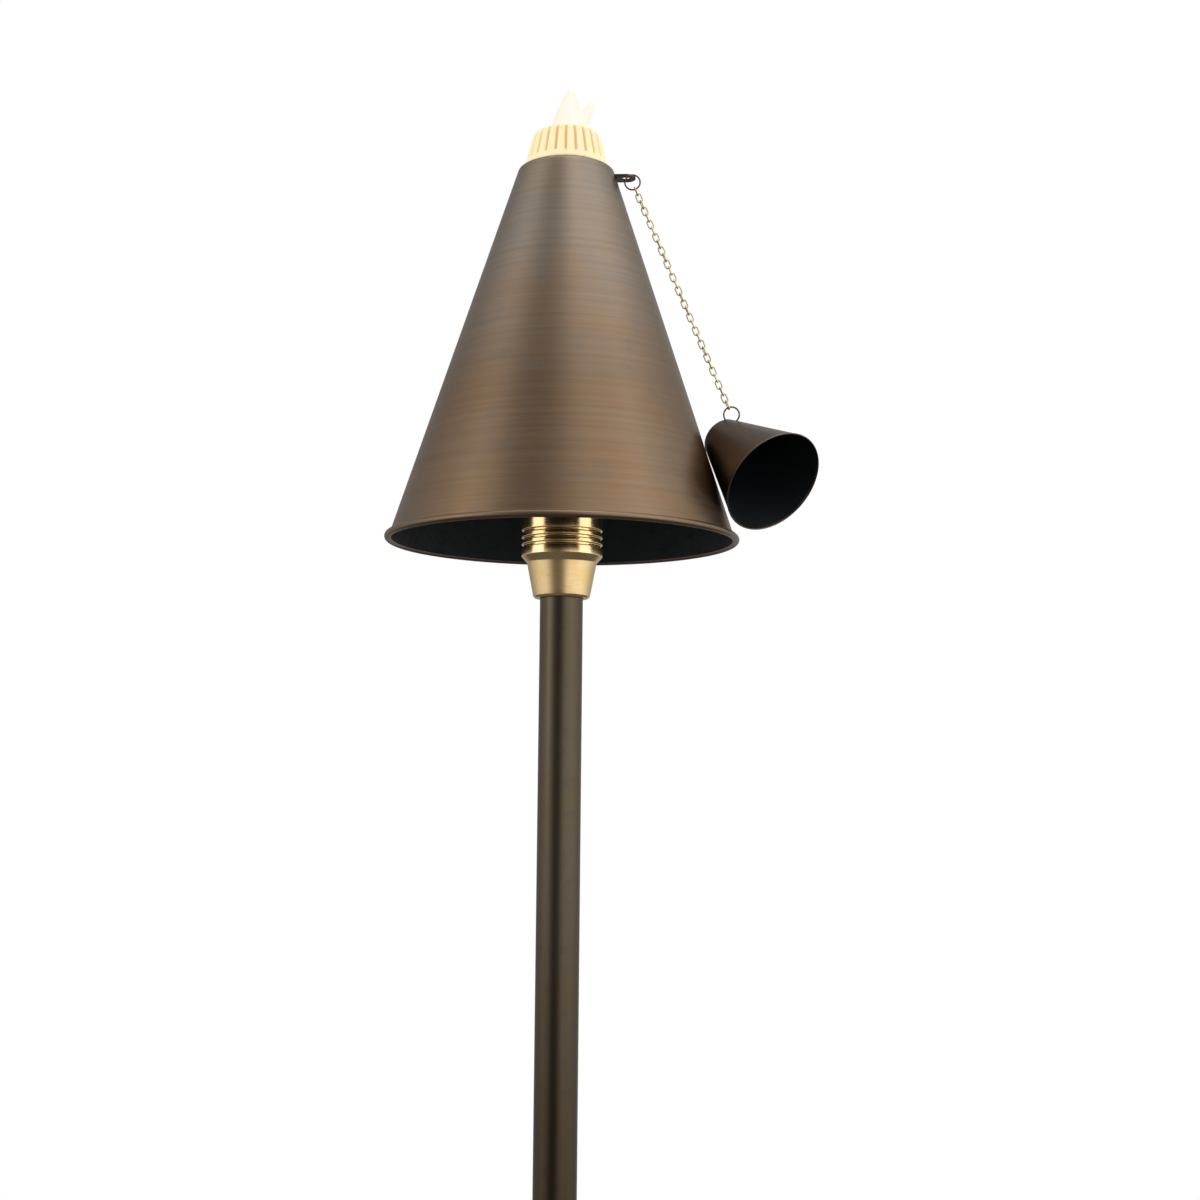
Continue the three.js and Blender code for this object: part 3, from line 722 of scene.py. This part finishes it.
# ---- Lamp, its holder and the leads ----
# A bi-pin lamp in a ceramic holder, screwed to a steel plate on top of the shade. Two leads come
# up through the stem.
white_ceramic = finish(
    "white_ceramic", (0.78, 0.75, 0.68), (0.72, 0.68, 0.6), (0.8, 0.78, 0.74), (0.4, 0.55),
    metallic=0.0, mottle=150.0, grain=(1500.0, 1500.0), relief=0.015)
lead_rubber = finish(
    "lead_rubber", (0.015, 0.015, 0.016), (0.022, 0.02, 0.02), (0.01, 0.01, 0.012), (0.6, 0.8),
    metallic=0.0, mottle=90.0, grain=(900.0, 500.0), relief=0.02)
lamp_glass, lamp_tree, lamp_shader = fresh_material("lamp_glass", (0.95, 0.95, 0.9), 0.05)
lamp_shader.inputs["Transmission Weight"].default_value = 1.0
lamp_shader.inputs["Emission Color"].default_value = (1.0, 0.8, 0.45, 1)
lamp_shader.inputs["Emission Strength"].default_value = 1.5
lamp_marks = place_group(lamp_tree, GRAIN, Vector=object_coordinates(lamp_tree), Around=200.0, Along=200.0)
lamp_tree.links.new(
    ease(lamp_tree, lamp_marks.outputs["Mask"], 0, 1, 0.03, 0.12), lamp_shader.inputs["Roughness"])
kept = {
    "lamp_plate": machined_steel, "lampholder": white_ceramic, "lampholder_screw_1": machined_steel,
    "lampholder_screw_2": machined_steel, "lamp_base": white_ceramic, "lamp_envelope": lamp_glass,
    "lead_1": lead_rubber, "lead_2": lead_rubber, "crown_gasket": lead_rubber,
}
for node, made in kept.items():
    mesh = frame["nodes"][node].data
    mesh.materials.clear()
    mesh.materials.append(made)

# ---- Ribbed crown ----
# A ring of warm frosted glass with 24 narrow grooves, lit from inside. It stands on its gasket
# on the shade's top and curves in at the top round the flame.
crown_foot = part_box("ribbed_crown")[0].z
RIBS = 24
crown_corners = np.array([
    (21.5, 0), (20.5, 3.1), (18, 13.7), (17, 16.2), (15.4, 17.9), (13.6, 17.9),
    (13.6, 15.9), (15.4, 13.7), (17.9, 3.1), (18.9, 0),
]) * MM
crown_outline = refine(fillet(crown_corners, 1.1 * MM, 6), 0.5 * MM)
step = np.roll(crown_outline, -1, 0) - np.roll(crown_outline, 1, 0)
out_normal = np.stack([step[:, 1], -step[:, 0]], -1) / np.linalg.norm(step, axis=1)[:, None]
crown_angle = np.linspace(0, TURN, RIBS * 24, endpoint=False)


def smooth_step(x, low, high):
    t = np.clip((x - low) / (high - low), 0, 1)
    return t * t * (3 - 2 * t)


# Distance across a groove is the angle from its middle times the radius. The cut is full within
# GROOVE_FLAT of the middle and eases to none at GROOVE_EDGE, on the outer face above the foot.
GROOVE_FLAT, GROOVE_EDGE, GROOVE_CUT = 0.5 * MM, 0.95 * MM, 1.25 * MM
from_middle = np.abs((crown_angle / TURN * RIBS + 0.5) % 1 - 0.5) * TURN / RIBS
across = from_middle[None, :] * crown_outline[:, :1]
facing_out = (out_normal[:, 0] > 0.12) | ((out_normal[:, 1] > 0.5) & (crown_outline[:, 0] > 14.6 * MM))
low_end = smooth_step(crown_outline[:, 1], 2.7 * MM, 3.6 * MM) * facing_out
groove = (1 - smooth_step(across, GROOVE_FLAT, GROOVE_EDGE)) * low_end[:, None]
crown_rz = crown_outline[:, None, :] - out_normal[:, None, :] * (groove * GROOVE_CUT)[:, :, None]
crown_points = np.stack([
    crown_rz[:, :, 0] * np.cos(crown_angle),
    crown_rz[:, :, 0] * np.sin(crown_angle),
    crown_rz[:, :, 1] + crown_foot,
], -1)
crown_mesh = skin("crown_ribs", crown_points, wrap_rows=True)
groove_shade_mask = crown_mesh.attributes.new("groove", "FLOAT", "POINT")
groove_shade_mask.data.foreach_set("value", groove.ravel().astype(np.float32))
lit_glass, lit_tree, lit_shader = fresh_material("lit_glass", (0.22, 0.17, 0.09), 0.4)
lit_place = object_coordinates(lit_tree)
groove_shade_read = lit_tree.nodes.new("ShaderNodeAttribute")
groove_shade_read.attribute_name = "groove"
lit_cloud = place_group(
    lit_tree, MOTTLE, Vector=lit_place, Scale=120.0, Main=(1.0, 0.9, 0.56), Warm=(1.0, 0.86, 0.47),
    Cool=(1.0, 0.94, 0.62))
# Painted shade: the grooves glow a darker orange, as shade in their recesses.
lit_colour = mixed_colour(
    lit_tree, groove_shade_read.outputs["Fac"], lit_cloud.outputs["Color"], (0.72, 0.41, 0.17))
lit_tree.links.new(lit_colour, lit_shader.inputs["Emission Color"])
lit_shader.inputs["Emission Strength"].default_value = 0.84
lit_marks = place_group(lit_tree, GRAIN, Vector=lit_place, Around=500.0, Along=500.0)
lit_rough = ease(lit_tree, lit_marks.outputs["Mask"], 0, 1, 0.32, 0.5)
lit_tree.links.new(lit_rough, lit_shader.inputs["Roughness"])
bump(lit_tree, lit_shader, lit_marks.outputs["Height"], 0.02 * MM)
crown = new_piece("crown_ribs", crown_mesh, [lit_glass])
smooth(crown.data, 60)
carry(crown, ["ribbed_crown"])

# ---- Flame ----
# Blown frosted glass in the shape of a flame: a tall tongue and a smaller one that leans to the
# side, with an open foot that stands round the lamp.
flame_low, flame_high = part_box("flame_glass")
flame_tall = flame_high.z - flame_low.z


def tongue(name, radii, height, lean_x, lean_y):
    """A drop whose radius follows radii up its height and whose axis leans over by a smooth step."""
    rows, columns = 60, 48
    share = np.linspace(0, 1, rows)
    level = np.array([0, 0.3, 0.5, 0.68, 0.84, 0.95, 1.0])
    radius = np.interp(share, level, [*radii, 0.0]) * np.sqrt(np.clip((1 - share) / 0.03, 0, 1))
    radius = np.convolve(np.pad(radius, 3, "edge"), np.ones(7) / 7, "valid")
    radius[-1] = 0
    z = share * height
    shift = smooth_step(z, 8 * MM, height)
    angle = np.linspace(0, TURN, columns, endpoint=False)
    points = np.stack([
        radius[:, None] * np.cos(angle) + lean_x * shift[:, None],
        radius[:, None] * np.sin(angle) + lean_y * shift[:, None],
        np.broadcast_to(z[:, None], (rows, columns)) + flame_low.z,
    ], -1)
    foot = points[:1] * (0, 0, 1)
    return skin(name, np.concatenate([foot, points]))


def joined(first, second):
    """The outer surface of two closed shapes that pass through each other."""
    body = bpy.data.objects.new("body", first)
    tool = bpy.data.objects.new("tool", second)
    for item in (body, tool):
        bpy.context.scene.collection.objects.link(item)
    union = body.modifiers.new("union", "BOOLEAN")
    union.operation = "UNION"
    union.object = tool
    union.solver = "EXACT"
    even = body.modifiers.new("even", "REMESH")
    even.mode = "VOXEL"
    even.voxel_size = 0.6 * MM
    soften = body.modifiers.new("soften", "SMOOTH")
    soften.iterations = 6
    bpy.context.view_layer.update()
    done = bpy.data.meshes.new_from_object(body.evaluated_get(bpy.context.evaluated_depsgraph_get()))
    for item in (body, tool):
        bpy.data.objects.remove(item)
    return done


main_radii = np.array([9.6, 9.8, 8.0, 6.0, 3.8, 1.8]) * MM
side_radii = np.array([6.8, 7.4, 6.2, 4.2, 3.0, 1.4]) * MM
main_tongue = tongue("main_tongue", main_radii, flame_tall - 0.1 * MM, 1.5 * MM, 0)
side_tongue = tongue("side_tongue", side_radii, 32.6 * MM, 12.5 * MM, -1 * MM)
flame_mesh = joined(main_tongue, side_tongue)
flame_mesh.name = "flame_blown"
work = bmesh.new()
work.from_mesh(flame_mesh)
foot_faces = [f for f in work.faces if f.calc_center_median().z < flame_low.z + 0.5 * MM]
bmesh.ops.delete(work, geom=foot_faces, context="FACES")
work.to_mesh(flame_mesh)
work.free()
flame_glass, flame_tree, flame_shader = fresh_material("flame_glass", (0.2, 0.18, 0.14), 0.4)
flame_cloud = place_group(
    flame_tree, MOTTLE, Vector=object_coordinates(flame_tree), Scale=90.0, Main=(1.0, 0.955, 0.86),
    Warm=(1.0, 0.93, 0.78), Cool=(1.0, 0.98, 0.92))
flame_rim = flame_tree.nodes.new("ShaderNodeLayerWeight")
flame_rim.inputs["Blend"].default_value = 0.25
flame_colour = mixed_colour(
    flame_tree, flame_rim.outputs["Facing"], flame_cloud.outputs["Color"], (0.93, 0.75, 0.5))
flame_tree.links.new(flame_colour, flame_shader.inputs["Emission Color"])
flame_shader.inputs["Emission Strength"].default_value = 0.87
flame_marks = place_group(
    flame_tree, GRAIN, Vector=object_coordinates(flame_tree), Around=300.0, Along=150.0)
bump(flame_tree, flame_shader, flame_marks.outputs["Height"], 0.05 * MM)
flame = new_piece("flame_blown", flame_mesh, [flame_glass])
flame_wall = flame.modifiers.new("wall", "SOLIDIFY")
flame_wall.thickness = 1.3 * MM
flame_wall.offset = -1
smooth(flame.data, 80)
carry(flame, ["flame_glass"])


# ---- Chain rings ----
# Jump rings of darkened wire, bent shut with a hairline gap. One passes through the strap's hole
# and the chain's first link, the other through its last link and the cap's two holes.
def wire_loop(name, half_length, radius, wire, place, seam=0.0, columns=16, steps=96):
    """Round wire bent to an oval: the path is a circle pulled apart by half_length - radius on
    each side, and the wire is a small circle carried round it. A seam leaves that gap, in
    radians, at the top, with flat ends."""
    start, end = math.pi / 2 + seam / 2, math.pi / 2 + TURN - seam / 2
    t = np.linspace(start, end, steps, endpoint=seam > 0)[:, None]
    if seam == 0:
        t = t + TURN / steps / 2
    around = np.linspace(0, TURN, columns, endpoint=False)[None, :]
    reach = radius + wire * np.cos(around)
    x = reach * np.cos(t) + np.sign(np.cos(t)) * (half_length - radius)
    rows = np.stack([x, reach * np.sin(t), wire * np.sin(around) + 0 * t], -1)
    if seam > 0:
        ends = [np.broadcast_to(rows[k].mean(0), rows[k].shape)[None] for k in (0, -1)]
        rows = np.concatenate([ends[0], rows, ends[1]])
    mesh = skin(name, np.flip(rows, 1), wrap_rows=seam == 0)
    mesh.transform(place)
    return mesh


LOOP_RADIUS, LOOP_WIRE, LOWER_TILT = 3.88 * MM, 0.41 * MM, math.radians(12)
dark_wire = finish(
    "dark_wire", (0.19, 0.145, 0.12), (0.22, 0.15, 0.11), (0.14, 0.12, 0.11), (0.25, 0.4),
    mottle=300.0, grain=(1500.0, 1500.0), relief=0.008)


def box_middle(node):
    low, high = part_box(node)
    return (low + high) / 2


RING_GAP = 0.03
for node, tilt, seam_turn in (("upper_ring", 0.0, 200), ("lower_ring", LOWER_TILT, 75)):
    upright = Matrix.Rotation(math.pi / 2 + tilt, 4, "X") @ Matrix.Rotation(math.radians(seam_turn), 4, "Z")
    place = Matrix.Translation(box_middle(node)) @ hang_turn @ upright
    ring_mesh = wire_loop(node + "_wire", LOOP_RADIUS, LOOP_RADIUS, LOOP_WIRE, place, seam=RING_GAP)
    ring = new_piece(node + "_wire", ring_mesh, [dark_wire])
    smooth(ring.data, 60)
    carry(ring, [node])

# ---- Chain ----
# Cable chain of bright brass wire: each oval link is turned a quarter from the last, and lies a
# few degrees off, as links do.
LINKS = [f"chain_link_{i:02d}" for i in range(1, 34)]
LINK_WIRE, LINK_HALF_WIDTH = 0.38 * MM, 1.32 * MM
first_link, last_link = box_middle(LINKS[0]), box_middle(LINKS[-1])
link_pitch = (last_link - first_link).length / (len(LINKS) - 1)
link_half = (link_pitch + 2 * LINK_WIRE + 0.12 * MM) / 2
down = (last_link - first_link).normalized()
sideways = hang_turn.to_3x3() @ Vector((0, 1, 0))
along_chain = Matrix((down, sideways, down.cross(sideways))).transposed().to_4x4()
# Painted highlight: the brass is paler than the metal is, standing in for glare on the chain.
chain_brass = finish(
    "chain_brass", (1.0, 0.88, 0.55), (1.0, 0.84, 0.48), (0.95, 0.85, 0.55), (0.3, 0.42),
    mottle=400.0, grain=(1200.0, 1200.0), relief=0.004)
for i, node in enumerate(LINKS):
    quarter = math.pi / 2 * (i % 2) + math.radians(9) * math.sin(2.3 * i)
    place = Matrix.Translation(first_link + down * (i * link_pitch)) @ along_chain
    place = place @ Matrix.Rotation(quarter, 4, "X")
    link_mesh = wire_loop(
        node + "_wire", link_half, LINK_HALF_WIDTH, LINK_WIRE, place, columns=12, steps=40)
    link = new_piece(node + "_wire", link_mesh, [chain_brass])
    link_mesh.shade_smooth()
    carry(link, [node])

# ---- Snuffer cap ----
# A small spun copper cup with a rounded closed end, a coppery lip and a black inside. The lower
# ring passes through two drilled holes near its closed end.
CAP_LENGTH, CAP_SMALL, CAP_MOUTH = 47.3 * MM, 10.5 * MM, 26.8 * MM
CAP_WALL, CAP_CORNER = 0.6 * MM, 2.2 * MM
cap_lean = math.degrees(math.atan((CAP_MOUTH - CAP_SMALL) / CAP_LENGTH))
corner_centre = CAP_SMALL - CAP_CORNER + 0.3 * MM
lip = 0.35 * MM
cap_outline = np.concatenate([
    [(0, 0)],
    arc(corner_centre, CAP_CORNER, CAP_CORNER, -90, -cap_lean, 10),
    [(CAP_MOUTH - lip, CAP_LENGTH - 2.6 * lip)],
    arc(CAP_MOUTH - lip, CAP_LENGTH - lip, lip, -30, 180, 10),
    [(CAP_MOUTH - CAP_WALL - lip, CAP_LENGTH - 2.6 * lip)],
    arc(corner_centre, CAP_CORNER, CAP_CORNER - CAP_WALL, -cap_lean, -90, 8),
    [(0, CAP_WALL)],
])
cap_blank = turned("cap_spun", refine(cap_outline, 1.5 * MM, closed=False), 160, closed=False)
cap_azimuth, cap_elevation = math.radians(-48.31), math.radians(-36.72)
cap_direction = Vector((
    math.cos(cap_elevation) * math.cos(cap_azimuth),
    math.cos(cap_elevation) * math.sin(cap_azimuth),
    math.sin(cap_elevation),
))
hang_frame = Matrix.Translation((0, 0, bead_level)) @ hang_turn
small_end = Vector((79.05 * MM, 9.18 * MM, 54.1 * MM))
cap_turn = Vector((0, 0, 1)).rotation_difference(cap_direction).to_matrix().to_4x4()
cap_place = hang_frame @ Matrix.Translation(small_end) @ cap_turn
ring_lean = hang_turn @ Matrix.Rotation(LOWER_TILT, 4, "X")
cap_holes = []
for angle in (math.radians(221), math.radians(307.5)):
    on_ring = Vector((math.cos(angle), 0, math.sin(angle))) * LOOP_RADIUS
    spot = box_middle("lower_ring") + ring_lean @ on_ring
    hole = hole_cutter(1.5 * MM, spot, ring_lean @ Vector((0, 0, 1)), 5 * MM)
    hole.transform(cap_place.inverted())
    cap_holes.append(hole)
cap_copper = finish(
    "cap_copper", (0.17, 0.128, 0.096), (0.18, 0.122, 0.084), (0.155, 0.125, 0.1), (0.28, 0.38),
    mottle=60.0, grain=(14.0, 1300.0), relief=0.006, own="own_place")
cap = new_piece("cap_spun", pierce(cap_blank, cap_holes), [cap_copper, soot_black])
own_place = np.empty(len(cap.data.vertices) * 3, np.float32)
cap.data.vertices.foreach_get("co", own_place)
cap.data.attributes.new("own_place", "FLOAT_VECTOR", "POINT").data.foreach_set("vector", own_place)
middle, facing = face_arrays(cap.data)
outward = (middle[:, :2] * facing[:, :2]).sum(1)
inner_side = (outward < 0) & (middle[:, 2] < CAP_LENGTH - 1.2 * MM) & (middle[:, 2] > CAP_WALL * 0.8)
inner_side |= (facing[:, 2] > 0.5) & (middle[:, 2] < CAP_LENGTH / 2)
cap.data.polygons.foreach_set("material_index", inner_side.astype(np.int32))
cap.data.transform(cap_place)
smooth(cap.data, 40)
carry(cap, ["snuffer_cap"])
